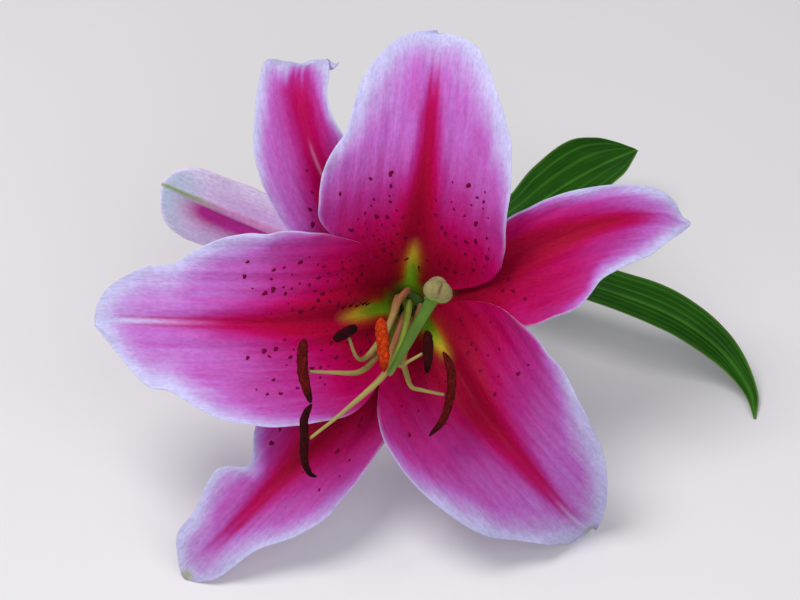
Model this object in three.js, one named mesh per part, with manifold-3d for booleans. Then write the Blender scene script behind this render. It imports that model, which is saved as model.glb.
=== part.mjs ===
// A cut lily lying on a surface: one open bloom, a half-open second bloom, two leaves and a cut stem.
// Millimetres and degrees. +Z is up from the surface, and the stem runs back along +Y.
import * as THREE from 'three';
import { mergeVertices } from 'three/addons/utils/BufferGeometryUtils.js';
import Module from 'manifold-3d';

const wasm = await Module();
wasm.setup();

// ---- driving dimensions ----
const BLOOM_SPAN = 176; // across the open bloom, tip to tip
const MOUTH_ELEVATION = 42; // angle of the bloom's axis above the surface
const PETAL_WIDTH = 56;
const PETAL_CLAW_WIDTH = 56; // the width that a petal's foot is shared out from, set by the throat
const SEPAL_WIDTH = 34;
const SEPAL_CLAW_WIDTH = 34;
const TEPAL_EDGE = 0.7; // thickness at the margin
const TEPAL_MIDRIB = 2.0; // thickness along the midrib at the base

const RECEPTACLE_DIAMETER = 8;
const RECEPTACLE_HEIGHT = 5;
const OVARY_LENGTH = 19;
const OVARY_DIAMETER = 4.2;
const STYLE_DIAMETER = 3.2;
const STIGMA_DIAMETER = 8.2;
const FILAMENT_DIAMETER = 2.1;
const ANTHER_DIAMETER = 3.6;

const STEM_LENGTH = 112; // the straight stretch that lies on the surface
const STEM_DIAMETER = 8;
const PEDICEL_DIAMETER = 5.2;
const STEM_CUT_ANGLE = 35; // slant of the cut end

const BUD_SEPAL_WIDTH = 23;
const BUD_PETAL_WIDTH = 14;
const BUD_PEDICEL_DIAMETER = 4.6;
const BUD_RECEPTACLE_DIAMETER = 6;

const UPPER_LEAF_WIDTH = 28;
const RIGHT_LEAF_WIDTH = 17;
const LEAF_THICKNESS = 0.9;

const CLEARANCE = 0.3; // gap kept between pieces that touch

// Span at which the midribs of the open bloom are written below.
const DRAWN_SPAN = 176;
const bloomScale = BLOOM_SPAN / DRAWN_SPAN;
const RAD = Math.PI / 180;

// ---- materials ----
const makeMaterial = (color, roughness) => new THREE.MeshStandardMaterial({ color, roughness });
const materials = {
  petal: () => makeMaterial(0xc23a8c, 0.55),
  sepal: () => makeMaterial(0xb8388a, 0.55),
  paleTepal: () => makeMaterial(0xe6c4e0, 0.55),
  leaf: () => makeMaterial(0x2f6b24, 0.45),
  stem: () => makeMaterial(0x5d8a3c, 0.5),
  style: () => makeMaterial(0x5fa23a, 0.4),
  stigma: () => makeMaterial(0xd7dcae, 0.5),
  filament: () => makeMaterial(0xb9b86a, 0.5),
  anther: () => makeMaterial(0x5e1418, 0.85),
  orangeAnther: () => makeMaterial(0xc83c14, 0.85),
};

// ---- geometry helpers ----
const vector = ([x, y, z]) => new THREE.Vector3(x, y, z);

// A point at a radius and bearing about the z axis.
const around = (radius, bearing, z) => new THREE.Vector3(
  radius * Math.cos(bearing * RAD),
  radius * Math.sin(bearing * RAD),
  z,
);

const smoothCurve = (points) => new THREE.CatmullRomCurve3(points, false, 'centripetal');

// Value at t of a smooth profile through [t, value] pairs, eased between its stations.
function profileAt(stations, t) {
  let i = 1;
  while (i < stations.length - 1 && t > stations[i][0]) i += 1;
  const before = stations[Math.max(i - 2, 0)];
  const [from, to] = [stations[i - 1], stations[i]];
  const after = stations[Math.min(i + 1, stations.length - 1)];
  const step = to[0] - from[0];
  const s = THREE.MathUtils.clamp((t - from[0]) / step, 0, 1);
  const slopeFrom = (to[1] - before[1]) / (to[0] - before[0]) * step;
  const slopeTo = (after[1] - from[1]) / (after[0] - from[0]) * step;
  return THREE.MathUtils.clamp(
    from[1] * (2 * s ** 3 - 3 * s ** 2 + 1) + to[1] * (3 * s ** 2 - 2 * s ** 3)
      + slopeFrom * (s ** 3 - 2 * s ** 2 + s) + slopeTo * (s ** 3 - s ** 2),
    Math.min(from[1], to[1]),
    Math.max(from[1], to[1]),
  );
}

// A closed body through rings of points. Each ring runs anticlockwise as seen from ahead, has an even
// number of points, and its first and last points lie side by side, so each end closes in pairs.
function loft(rings) {
  const count = rings[0].length;
  const faces = [];
  const quad = (a, b, c, d) => faces.push(a, b, c, a, c, d);
  for (let i = 0; i < rings.length - 1; i += 1) {
    for (let j = 0; j < count; j += 1) {
      const next = (j + 1) % count;
      quad(i * count + j, i * count + next, (i + 1) * count + next, (i + 1) * count + j);
    }
  }
  const last = (rings.length - 1) * count;
  for (let j = 0; j < count / 2 - 1; j += 1) {
    const across = count - 1 - j;
    quad(across, across - 1, j + 1, j);
    quad(last + j, last + j + 1, last + across - 1, last + across);
  }
  const geometry = new THREE.BufferGeometry();
  geometry.setFromPoints(rings.flat());
  geometry.setIndex(faces);
  geometry.computeVertexNormals();
  return geometry;
}

// A round body swept along a curve. radiusAt(t) gives its radius, and endSlant tilts its far end.
function sweep(points, radiusAt, { sides = 8, steps = 12, endSlant = 0 } = {}) {
  const curve = smoothCurve(points);
  const { tangents, normals, binormals } = curve.computeFrenetFrames(steps, false);
  const rings = tangents.map((tangent, i) => {
    const t = i / steps;
    const radius = radiusAt(t);
    const slant = i === steps ? Math.tan(endSlant * RAD) : 0;
    return Array.from({ length: sides }, (_, j) => {
      const angle = (2 * Math.PI * (j + 0.5)) / sides;
      return curve.getPointAt(t)
        .addScaledVector(normals[i], radius * Math.cos(angle))
        .addScaledVector(binormals[i], radius * Math.sin(angle))
        .addScaledVector(tangent, slant * radius * Math.cos(angle));
    });
  });
  return loft(rings);
}

const { lerp, smoothstep } = THREE.MathUtils;

// Passes from foot to blade over the throat, and on to tip where the blade turns.
const alongBlade = ([foot, middle, tip = middle], t) => lerp(foot, middle, smoothstep(t, 0, 0.25))
  + (tip - middle) * smoothstep(t, 0.4, 0.85);

// A blade such as a petal or a leaf. bearing is the flat direction it points in at its foot, middle
// and tip, and its upper side faces up across it. left and right hold [t, share of the width].
// wrap is the angle through which half the blade rolls towards its upper side at foot, middle and tip.
// A blade may have a claw, the width that its foot takes in the throat before it spreads to its width.
function blade({
  midrib, bearing, width, claw = width, left, right, wrap, edge, rib, across = 8, steps = 14,
}) {
  const curve = smoothCurve(midrib);
  const rings = Array.from({ length: steps + 1 }, (_, i) => {
    // Stations crowd towards both ends, where the blade narrows.
    const t = 0.5 - 0.5 * Math.cos((Math.PI * i) / steps);
    const tangent = curve.getTangentAt(t);
    const heading = alongBlade(bearing, t) * RAD;
    const leftward = new THREE.Vector3(-Math.sin(heading), Math.cos(heading), 0);
    const side = leftward.addScaledVector(tangent, -leftward.dot(tangent)).normalize();
    const up = tangent.clone().cross(side);
    const roll = alongBlade(wrap, t) * RAD;
    const spread = lerp(claw, width, smoothstep(t, 0.3, 0.75));
    const top = [];
    const bottom = [];
    for (let j = 0; j <= across; j += 1) {
      const u = 1 - (2 * j) / across;
      const half = spread * profileAt(u > 0 ? left : right, t);
      const point = curve.getPointAt(t)
        .addScaledVector(side, (half * Math.sin(roll * u)) / roll)
        .addScaledVector(up, (half * (1 - Math.cos(roll * u))) / roll);
      const raised = Math.max(rib * (1 - 0.7 * t) - edge, 0) * Math.exp(-((u * half) ** 2) / 9);
      top.push(point);
      bottom.unshift(point.clone().addScaledVector(up, -Math.min(edge + raised, 0.6 * half + 0.3)));
    }
    return [...top, ...bottom];
  });
  return loft(rings);
}

const toManifold = (geometry) => {
  const plain = geometry.clone();
  plain.deleteAttribute('normal');
  plain.deleteAttribute('uv');
  const merged = mergeVertices(plain);
  return new wasm.Manifold(new wasm.Mesh({
    numProp: 3,
    vertProperties: new Float32Array(merged.attributes.position.array),
    triVerts: new Uint32Array(merged.index.array),
  }));
};

const fromManifold = (solid) => {
  const { vertProperties, triVerts } = solid.getMesh();
  const geometry = new THREE.BufferGeometry();
  geometry.setAttribute('position', new THREE.BufferAttribute(vertProperties, 3));
  geometry.setIndex(new THREE.BufferAttribute(triVerts, 1));
  geometry.computeVertexNormals();
  return geometry;
};

const lily = new THREE.Group();
const bloom = new THREE.Group();
bloom.rotation.x = (90 - MOUTH_ELEVATION) * RAD;

function addPiece(group, name, geometry, material) {
  const mesh = new THREE.Mesh(geometry, material());
  mesh.name = name;
  group.add(mesh);
  return mesh;
}

// ---- the open bloom ----
// Its frame: origin at the middle of the receptacle, z out of its mouth, y up its face, x to the right.
const bloomPoint = (point) => vector(point).multiplyScalar(bloomScale);

// Foot of a tepal on the rim of the receptacle, inner ring for petals and outer ring for sepals.
const PETAL_RING = { outward: 0.5, level: 1.5, wrap: [46, 34, 15] };
const SEPAL_RING = { outward: TEPAL_MIDRIB + 1.3, level: 0, wrap: [40, 30, 12] };

function tepalFoot([bearing], ring) {
  const radius = RECEPTACLE_DIAMETER / 2 + CLEARANCE + ring.outward;
  return around(radius, bearing, ring.level);
}

const tepals = {
  petal_top: {
    ring: PETAL_RING,
    bearing: [80, 83],
    midrib: [[1, 9, 12], [2, 18, 25], [5, 38, 38], [7, 59, 43], [8.5, 74, 39], [9.5, 80.5, 33]],
    left: [[0, 0.08], [0.1, 0.14], [0.2, 0.21], [0.3, 0.37], [0.38, 0.54], [0.45, 0.57], [0.55, 0.555],
      [0.65, 0.44], [0.8, 0.38], [0.9, 0.26], [0.97, 0.13], [1, 0.02]],
    right: [[0, 0.08], [0.1, 0.18], [0.2, 0.38], [0.3, 0.5], [0.4, 0.49], [0.6, 0.45], [0.7, 0.41],
      [0.8, 0.33], [0.9, 0.25], [0.97, 0.15], [1, 0.02]],
  },
  petal_left: {
    ring: PETAL_RING,
    bearing: [200, 184],
    midrib: [[-9, -1.5, 12], [-19, -4, 27], [-40.5, -6, 40], [-64.5, -5.5, 45], [-83.5, -5, 41],
      [-93, -5.5, 35]],
    left: [[0, 0.08], [0.1, 0.13], [0.2, 0.31], [0.3, 0.5], [0.42, 0.56], [0.6, 0.54], [0.68, 0.47],
      [0.76, 0.37], [0.82, 0.34], [0.9, 0.21], [0.96, 0.1], [1, 0.02]],
    right: [[0, 0.08], [0.1, 0.16], [0.2, 0.31], [0.3, 0.42], [0.45, 0.5], [0.62, 0.47], [0.7, 0.4],
      [0.76, 0.31], [0.84, 0.28], [0.92, 0.2], [0.98, 0.1], [1, 0.02]],
  },
  petal_lower_right: {
    ring: PETAL_RING,
    bearing: [320, 309],
    midrib: [[6, -7.5, 12], [12.5, -17, 27], [22.5, -33, 37], [36.5, -50, 38], [48.5, -63.5, 30],
      [55, -68.5, 19]],
    left: [[0, 0.08], [0.1, 0.14], [0.2, 0.29], [0.3, 0.42], [0.42, 0.49], [0.55, 0.48], [0.7, 0.4],
      [0.8, 0.33], [0.9, 0.21], [0.97, 0.11], [1, 0.03]],
    right: [[0, 0.08], [0.1, 0.15], [0.2, 0.3], [0.3, 0.45], [0.44, 0.54], [0.6, 0.5], [0.72, 0.42],
      [0.8, 0.3], [0.9, 0.16], [0.97, 0.1], [1, 0.03]],
  },
  sepal_right: {
    ring: SEPAL_RING,
    bearing: [20, 17],
    midrib: [[11, 4, 10], [21.5, 9, 21], [40.5, 18, 31], [60.5, 24.5, 33], [75.5, 25.5, 30],
      [84.5, 24, 25]],
    left: [[0, 0.14], [0.1, 0.2], [0.25, 0.27], [0.45, 0.33], [0.6, 0.36], [0.75, 0.31], [0.88, 0.25],
      [0.94, 0.15], [0.97, 0.05], [1, 0.02]],
    right: [[0, 0.14], [0.1, 0.2], [0.2, 0.42], [0.32, 0.6], [0.5, 0.67], [0.57, 0.65], [0.65, 0.49],
      [0.75, 0.41], [0.84, 0.35], [0.9, 0.24], [0.97, 0.1], [1, 0.02]],
  },
  sepal_lower_left: {
    ring: SEPAL_RING,
    bearing: [260, 231],
    midrib: [[-5.5, -11, 10], [-12, -21, 21], [-26.5, -39, 31], [-43.5, -57.5, 37], [-58.5, -73, 37],
      [-66.5, -81.5, 33]],
    left: [[0, 0.14], [0.12, 0.22], [0.3, 0.46], [0.45, 0.53], [0.6, 0.55], [0.7, 0.47], [0.8, 0.3],
      [0.88, 0.24], [0.94, 0.2], [0.98, 0.11], [1, 0.03]],
    right: [[0, 0.14], [0.12, 0.22], [0.3, 0.36], [0.5, 0.54], [0.57, 0.52], [0.65, 0.39], [0.7, 0.39],
      [0.76, 0.44], [0.85, 0.34], [0.92, 0.3], [0.98, 0.12], [1, 0.03]],
  },
  sepal_upper_left: {
    ring: SEPAL_RING,
    bearing: [140, 118, 90],
    midrib: [[-7.5, 10, 10], [-14.5, 20, 22], [-26.5, 40, 33], [-32, 59, 34], [-32.5, 70, 28],
      [-31, 72.5, 21], [-27.5, 71.5, 14], [-22.5, 73.5, 9]],
    left: [[0, 0.14], [0.12, 0.22], [0.3, 0.43], [0.45, 0.52], [0.57, 0.5], [0.65, 0.43], [0.72, 0.36],
      [0.8, 0.32], [0.88, 0.25], [0.94, 0.18], [1, 0.06]],
    right: [[0, 0.14], [0.12, 0.24], [0.25, 0.36], [0.4, 0.42], [0.5, 0.37], [0.65, 0.26],
      [0.78, 0.27], [0.88, 0.2], [0.95, 0.14], [1, 0.06]],
  },
};

for (const [name, { ring, midrib, ...shape }] of Object.entries(tepals)) {
  const isPetal = ring === PETAL_RING;
  addPiece(bloom, name, blade({
    ...shape,
    midrib: [tepalFoot(shape.bearing, ring), ...midrib.map(bloomPoint)],
    width: isPetal ? PETAL_WIDTH : SEPAL_WIDTH,
    claw: isPetal ? PETAL_CLAW_WIDTH : SEPAL_CLAW_WIDTH,
    wrap: ring.wrap,
    edge: TEPAL_EDGE,
    rib: TEPAL_MIDRIB,
  }), isPetal ? materials.petal : materials.sepal);
}

// The receptacle, a flattened ball that the six tepals and six stamens stand round.
const receptacleBall = new THREE.SphereGeometry(RECEPTACLE_DIAMETER / 2, 12, 8);
receptacleBall.rotateX(Math.PI / 2);
receptacleBall.scale(1, 1, RECEPTACLE_HEIGHT / RECEPTACLE_DIAMETER);
addPiece(bloom, 'receptacle', receptacleBall, materials.stem);

// The pistil: ovary, then the style that droops out of the throat and turns up to the stigma.
const ovaryFoot = new THREE.Vector3(0, 0, RECEPTACLE_HEIGHT / 2 + CLEARANCE);
const ovaryTop = ovaryFoot.clone().setZ(ovaryFoot.z + OVARY_LENGTH);
addPiece(bloom, 'ovary', sweep(
  [ovaryFoot, ovaryFoot.clone().lerp(ovaryTop, 0.5), ovaryTop],
  (t) => profileAt([[0, 0.7], [0.15, 0.95], [0.6, 1], [0.9, 0.85], [1, 0.75]], t) * OVARY_DIAMETER / 2,
  { sides: 8, steps: 6 },
), materials.style);

const styleFoot = ovaryTop.clone().setZ(ovaryTop.z + 2 * CLEARANCE);
const styleBend = [
  [0, -0.6, 25], [-0.5, -4.5, 35], [-2, -11, 48], [-5, -18, 58], [-5.5, -20, 62], [-1.5, -13, 72],
  [2.8, -5, 79.5],
].map(bloomPoint);
const styleTip = bloomPoint([6.3, 1, 83.5]);
addPiece(bloom, 'style', sweep(
  [styleFoot, ...styleBend, styleTip],
  (t) => profileAt([[0, 0.9], [0.5, 0.92], [0.9, 1.05], [1, 1.15]], t) * STYLE_DIAMETER / 2,
  { sides: 8, steps: 22 },
), materials.style);

// The stigma: a three-lobed knob whose axis continues the style.
const STIGMA_LOBE = 0.09; // how far each lobe swells, as a share of the radius
const STIGMA_FLATTENING = 0.78;
function stigmaGeometry() {
  const geometry = new THREE.SphereGeometry(STIGMA_DIAMETER / 2, 18, 9);
  geometry.rotateX(Math.PI / 2);
  const position = geometry.attributes.position;
  const point = new THREE.Vector3();
  for (let i = 0; i < position.count; i += 1) {
    point.fromBufferAttribute(position, i);
    const lobes = 1 + STIGMA_LOBE * Math.cos(3 * Math.atan2(point.y, point.x));
    position.setXYZ(i, point.x * lobes, point.y * lobes, point.z * STIGMA_FLATTENING);
  }
  return geometry;
}
const stigmaAxis = styleTip.clone().sub(styleBend.at(-1)).normalize();
const stigma = addPiece(bloom, 'stigma', stigmaGeometry(), materials.stigma);
stigma.quaternion.setFromUnitVectors(new THREE.Vector3(0, 0, 1), stigmaAxis);
stigma.position.copy(styleTip)
  .addScaledVector(stigmaAxis, STIGMA_FLATTENING * STIGMA_DIAMETER / 2 + 2 * CLEARANCE);

// Six stamens. Each filament starts on a ring round the ovary and ends against the back of its anther.
const stamens = [
  {
    start: 200,
    filament: [[-3.9, -2.6, 20], [-6.5, -9, 31], [-9.5, -15.5, 38], [-14.5, -20, 48], [-21, -20, 54]],
    anther: [[-30, -10, 58], [-30.5, -13.5, 59], [-30.5, -18.5, 60], [-29.5, -23.5, 61.5],
      [-28, -28.5, 63]],
  },
  {
    start: 250,
    filament: [[-1.6, -4, 20], [-3.5, -10, 32], [-5.5, -15.5, 42], [-7, -20.5, 50], [-18.5, -31, 54]],
    anther: [[-28, -29, 56], [-30, -33, 57], [-30, -39, 58], [-30, -45, 58], [-28.5, -49, 57],
      [-26.5, -50, 56]],
  },
  {
    start: 95,
    filament: [[-0.5, 3.6, 20], [-2.8, 1, 32], [-4, -2, 41], [-6, -7.5, 53], [-7, -10, 61]],
    anther: [[-8, -4, 68], [-7.5, -10, 69], [-7, -16, 69], [-7, -19.5, 69]],
    color: materials.orangeAnther,
  },
  {
    start: 150,
    filament: [[-3.6, 0.8, 20], [-5.5, -5.8, 30], [-9.5, -12.5, 39], [-13.1, -16.2, 44.5],
      [-15.2, -15.4, 50]],
    anther: [[-21.5, -10.5, 47], [-18.8, -8.8, 53], [-17, -7.8, 59], [-15, -6.8, 65]],
  },
  {
    start: 340,
    filament: [[3.6, -1.6, 18], [0.8, -8.5, 30], [-2, -15.5, 43], [-2.5, -18.2, 48], [0.5, -16.5, 52]],
    anther: [[5.3, -8, 48], [5.6, -11, 51.5], [5.6, -16, 57], [5.3, -20, 60]],
  },
  {
    start: 295,
    filament: [[1.8, -5.2, 18], [-0.5, -11.5, 29], [-1.5, -17, 37], [-0.7, -20.5, 41], [1, -24.5, 45],
      [4, -25.3, 47.5]],
    anther: [[10, -14, 50], [12, -18, 51], [12.5, -23.5, 52], [11.5, -29.5, 52], [9.5, -34.5, 52],
      [6, -38.5, 51]],
  },
];

const stamenRing = (OVARY_DIAMETER + FILAMENT_DIAMETER) / 2 + CLEARANCE;
const filamentTaper = 0.45; // share of its radius that a filament loses towards its anther
const filamentTip = (1 - filamentTaper) * FILAMENT_DIAMETER / 2;
const antherProfile = [[0, 0.35], [0.08, 0.8], [0.25, 1], [0.75, 0.95], [0.92, 0.7], [1, 0.3]];

stamens.forEach(({ start, filament, anther, color = materials.anther }, index) => {
  const number = index + 1;
  const foot = around(stamenRing, start, RECEPTACLE_HEIGHT / 2 + 2 * CLEARANCE);
  const antherCurve = anther.map(bloomPoint);
  const middle = smoothCurve(antherCurve).getPointAt(0.5);
  const route = filament.map(bloomPoint);
  const approach = middle.clone().sub(route.at(-1)).normalize();
  const standOff = ANTHER_DIAMETER / 2 + 2 * CLEARANCE + filamentTip;
  const end = middle.clone().addScaledVector(approach, -standOff);
  addPiece(bloom, `filament_${number}`, sweep(
    [foot, ...route, end],
    (t) => (1 - filamentTaper * t) * FILAMENT_DIAMETER / 2,
    { sides: 6, steps: 18 },
  ), materials.filament);
  addPiece(bloom, `anther_${number}`, sweep(
    antherCurve,
    (t) => profileAt(antherProfile, t) * ANTHER_DIAMETER / 2,
    { sides: 8, steps: 9 },
  ), color);
});

// ---- placing the open bloom above the surface ----
// It leans on the two lower tepals, so its height follows from the lowest of their points.
bloom.updateMatrixWorld(true);
bloom.position.z = -new THREE.Box3().setFromObject(bloom, true).min.z;
bloom.updateMatrixWorld(true);
lily.add(bloom);

// ---- the stem, with the stalks of both blooms grown from it ----
const stemRadius = STEM_DIAMETER / 2;
const forkY = 50; // distance of the fork behind the middle of the open bloom
const stemX = 2; // the stem runs this far to the right of the bloom's middle
const axisOut = new THREE.Vector3(0, 0, 1).transformDirection(bloom.matrixWorld);
const stalkTop = bloom.position.clone().addScaledVector(axisOut, -(RECEPTACLE_HEIGHT / 2 + CLEARANCE));
const stemPoints = [
  stalkTop,
  stalkTop.clone().addScaledVector(axisOut, -16),
  new THREE.Vector3(1, forkY - 15, stemRadius + 5.5),
  new THREE.Vector3(1.5, forkY - 6, stemRadius + 1),
  new THREE.Vector3(stemX, forkY + 4, stemRadius),
  new THREE.Vector3(stemX + 1, forkY + 0.35 * STEM_LENGTH, stemRadius),
  new THREE.Vector3(stemX - 1, forkY + 0.7 * STEM_LENGTH, stemRadius),
  new THREE.Vector3(stemX, forkY + STEM_LENGTH, stemRadius),
];
const stalkRatio = PEDICEL_DIAMETER / STEM_DIAMETER;
const stemProfile = [[0, 1.15 * stalkRatio], [0.05, stalkRatio], [0.22, stalkRatio], [0.36, 1], [1, 1]];
const mainStem = sweep(
  stemPoints,
  (t) => profileAt(stemProfile, t) * stemRadius,
  { sides: 12, steps: 30, endSlant: STEM_CUT_ANGLE },
);

// ---- the second bloom, half open ----
// Its own frame: origin at its receptacle, z along it towards its tips, one sepal flared out.
const bud = new THREE.Group();
bud.position.set(-19, 44, 18);
const budTip = new THREE.Vector3(-67, 66, 19);
const budAxis = budTip.clone().sub(bud.position).normalize();

const budStalk = sweep(
  [
    new THREE.Vector3(stemX, forkY + 2, stemRadius),
    new THREE.Vector3(stemX - 7, forkY - 3, stemRadius + 3),
    bud.position.clone().addScaledVector(budAxis, -8),
    bud.position.clone().addScaledVector(budAxis, -(BUD_RECEPTACLE_DIAMETER / 2 + CLEARANCE)),
  ],
  () => BUD_PEDICEL_DIAMETER / 2,
  { sides: 10, steps: 12 },
);
addPiece(lily, 'stem', fromManifold(toManifold(mainStem).add(toManifold(budStalk))), materials.stem);

const budBall = new THREE.SphereGeometry(BUD_RECEPTACLE_DIAMETER / 2, 10, 6);
addPiece(bud, 'bud_receptacle', budBall, materials.stem);

// The bud is turned so that its flared sepal, at bearing 90, leans out to this point.
const flaredTip = new THREE.Vector3(-77.5, 37.5, 56);
const flare = flaredTip.sub(bud.position);
const budSide = new THREE.Vector3().crossVectors(flare, budAxis).normalize();
const budUp = new THREE.Vector3().crossVectors(budAxis, budSide);
bud.quaternion.setFromRotationMatrix(new THREE.Matrix4().makeBasis(budSide, budUp, budAxis));

// Outlines of half a tepal, as [t, share of the width].
const outlineFoot = [[0, 0.14], [0.15, 0.3], [0.45, 0.5]];
const taperedOutline = [...outlineFoot, [0.7, 0.42], [0.9, 0.17], [1, 0.03]];
const broadOutline = [...outlineFoot, [0.7, 0.56], [0.86, 0.52], [0.95, 0.34], [1, 0.04]];
const roundedOutline = [...outlineFoot, [0.7, 0.5], [0.86, 0.42], [0.95, 0.24], [1, 0.04]];

// Radius and height along the bud of the midrib of each kind of tepal.
const flaredSepal = [[4.6, 0], [8, 10], [13.5, 20], [22.5, 31], [36.5, 42.5], [47.5, 51]];
const closedSepal = [[4.6, 0], [7.5, 12], [10.2, 28], [9, 44], [3.4, 56]];
const foldedPetal = [[3.7, 4], [4.8, 14], [6.8, 28], [5.6, 40], [2.6, 50]];

function addBudTepal(name, bearing, { profile, ...shape }) {
  addPiece(bud, name, blade({
    midrib: profile.map(([radius, height]) => around(radius, bearing, height)),
    bearing: [bearing, bearing],
    left: taperedOutline,
    right: taperedOutline,
    ...shape,
    edge: TEPAL_EDGE,
    rib: 0.8 * TEPAL_MIDRIB,
    across: 6,
    steps: 11,
  }), materials.paleTepal);
}

addBudTepal('bud_sepal_1', 90, {
  profile: flaredSepal,
  width: BUD_SEPAL_WIDTH,
  wrap: [50, 34, 12],
  left: roundedOutline,
  right: broadOutline,
});
[210, 330].forEach((bearing, index) => {
  addBudTepal(`bud_sepal_${index + 2}`, bearing, {
    profile: closedSepal, width: 0.78 * BUD_SEPAL_WIDTH, wrap: [44, 44],
  });
});
[30, 150, 270].forEach((bearing, index) => {
  addBudTepal(`bud_petal_${index + 1}`, bearing, {
    profile: foldedPetal, width: BUD_PETAL_WIDTH, wrap: [38, 38],
  });
});
lily.add(bud);

// ---- leaves ----
// Each leaf starts against the stem and arches to the right, and the lower one ends on the surface.
const slenderEdge = [
  [0, 0.16], [0.12, 0.24], [0.35, 0.46], [0.6, 0.5], [0.8, 0.36], [0.93, 0.15], [1, 0.02],
];
const bulgingEdge = [
  [0, 0.16], [0.2, 0.2], [0.4, 0.28], [0.6, 0.44], [0.78, 0.52], [0.9, 0.4], [0.96, 0.22], [1, 0.02],
];

function addLeaf(name, { attachY, midrib, bearing, width, left = slenderEdge }) {
  const footX = stemX + 0.3 + stemRadius + 2 * CLEARANCE + LEAF_THICKNESS;
  addPiece(lily, name, blade({
    midrib: [new THREE.Vector3(footX, attachY, stemRadius), ...midrib.map(vector)],
    bearing,
    width,
    left,
    right: slenderEdge,
    wrap: [30, 14],
    edge: LEAF_THICKNESS * 0.6,
    rib: LEAF_THICKNESS * 1.6,
    across: 6,
    steps: 15,
  }), materials.leaf);
}

addLeaf('leaf_upper', {
  attachY: 63,
  midrib: [[23, 60, 15], [37, 63, 22], [50, 72, 26], [64, 82.5, 27], [77, 94, 24]],
  bearing: [0, 38],
  width: UPPER_LEAF_WIDTH,
  left: bulgingEdge,
});
addLeaf('leaf_right', {
  attachY: 51,
  midrib: [
    [30, 41, 17], [48.5, 30, 24], [67, 21, 25], [86, 15.5, 19], [100, 8, 11], [108, -2, 3.5],
    [109, -11, 0.6],
  ],
  bearing: [-25, -25, -60],
  width: RIGHT_LEAF_WIDTH,
});

// ---- origin at the middle of the footprint, on the surface ----
lily.updateMatrixWorld(true);
const bounds = new THREE.Box3().setFromObject(lily, true);
const footprint = bounds.getCenter(new THREE.Vector3());
lily.position.set(-footprint.x, -footprint.y, -bounds.min.z);

export default lily;
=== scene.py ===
"""The looks of a cut lily that lies on a pale surface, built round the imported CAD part.

Shapes are written in millimetres and put into the row frame in metres. The open bloom's shapes stand in
the bloom frame: origin at the middle of its receptacle, z out of its mouth, y up its face and x to the
right. The stem, the leaves and the second bloom stand in the surface frame: origin on the surface
straight under that receptacle, axes as in the row frame.
"""

import math

import bpy
import numpy as np
from mathutils import Euler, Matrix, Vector


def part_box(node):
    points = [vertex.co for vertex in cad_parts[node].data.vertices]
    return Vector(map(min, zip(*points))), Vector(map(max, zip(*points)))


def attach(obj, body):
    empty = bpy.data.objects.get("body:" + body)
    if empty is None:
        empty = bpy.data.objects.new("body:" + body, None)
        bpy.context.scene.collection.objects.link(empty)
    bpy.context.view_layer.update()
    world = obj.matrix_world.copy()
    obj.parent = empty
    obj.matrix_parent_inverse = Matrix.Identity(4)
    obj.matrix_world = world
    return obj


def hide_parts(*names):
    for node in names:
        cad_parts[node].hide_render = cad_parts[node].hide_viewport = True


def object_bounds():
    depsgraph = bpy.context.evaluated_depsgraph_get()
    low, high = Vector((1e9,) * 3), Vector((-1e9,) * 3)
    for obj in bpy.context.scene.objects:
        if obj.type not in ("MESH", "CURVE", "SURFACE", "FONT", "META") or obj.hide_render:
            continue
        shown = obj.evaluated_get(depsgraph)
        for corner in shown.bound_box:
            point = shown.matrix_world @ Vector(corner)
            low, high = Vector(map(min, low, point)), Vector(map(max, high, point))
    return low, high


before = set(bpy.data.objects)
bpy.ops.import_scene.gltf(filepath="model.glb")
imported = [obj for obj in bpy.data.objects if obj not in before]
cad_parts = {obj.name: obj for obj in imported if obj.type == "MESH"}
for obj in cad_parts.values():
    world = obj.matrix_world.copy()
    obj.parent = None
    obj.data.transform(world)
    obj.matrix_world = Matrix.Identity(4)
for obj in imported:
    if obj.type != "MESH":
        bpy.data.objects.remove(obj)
cad_low, cad_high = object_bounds()

MM = 0.001
BODY = "root"

# ---- sizes shared with the CAD part, in millimetres and degrees ----
MOUTH_ELEVATION = 42
PETAL_WIDTH = 56
SEPAL_WIDTH = 34
TEPAL_EDGE = 0.5
TEPAL_MIDRIB = 2.0
RECEPTACLE_RADIUS = 4
CLEARANCE = 0.3
STYLE_DIAMETER = 3.2
STIGMA_DIAMETER = 8.2
OVARY_DIAMETER = 4.2
FILAMENT_DIAMETER = 2.1
ANTHER_DIAMETER = 3.6
STEM_DIAMETER = 8
STEM_CUT_ANGLE = 35
PEDICEL_DIAMETER = 5.2
STEM_LENGTH = 112
FORK_Y = 50
STEM_X = 2

# ---- sizes of the fine surface alone, in millimetres ----
BLADE_ROW_STEP = 0.55
BLADE_COLUMN_STEP = 0.5
SPOT_SINK = 0.12
SPOT_SPACING = 2.1
SPOT_TRIES = 4000
PITH_DIP = 0.35

# ---- frames ----
receptacle_low, receptacle_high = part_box("receptacle")
BLOOM_CENTRE = np.array((receptacle_low + receptacle_high) / 2) / MM
SURFACE_CENTRE = np.array([BLOOM_CENTRE[0], BLOOM_CENTRE[1], cad_low.z / MM])
TILT = math.radians(90 - MOUTH_ELEVATION)
BLOOM_TURN = np.array(Euler((TILT, 0, 0)).to_matrix())


def from_bloom(points):
    return np.asarray(points, float) @ BLOOM_TURN.T + BLOOM_CENTRE


def from_surface(points):
    return np.asarray(points, float) + SURFACE_CENTRE


# ---- numbers ----
LATTICE = 64


def rise(low, high, x):
    """0 where x is below low, 1 above high, and a smooth step between them."""
    s = np.clip((x - low) / (high - low), 0, 1)
    return s * s * (3 - 2 * s)


def fall(low, high, x):
    return 1 - rise(low, high, x)


def lerp(a, b, k):
    return a + (b - a) * k


def bell(x, width):
    return np.exp(-((x / width) ** 2))


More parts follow.
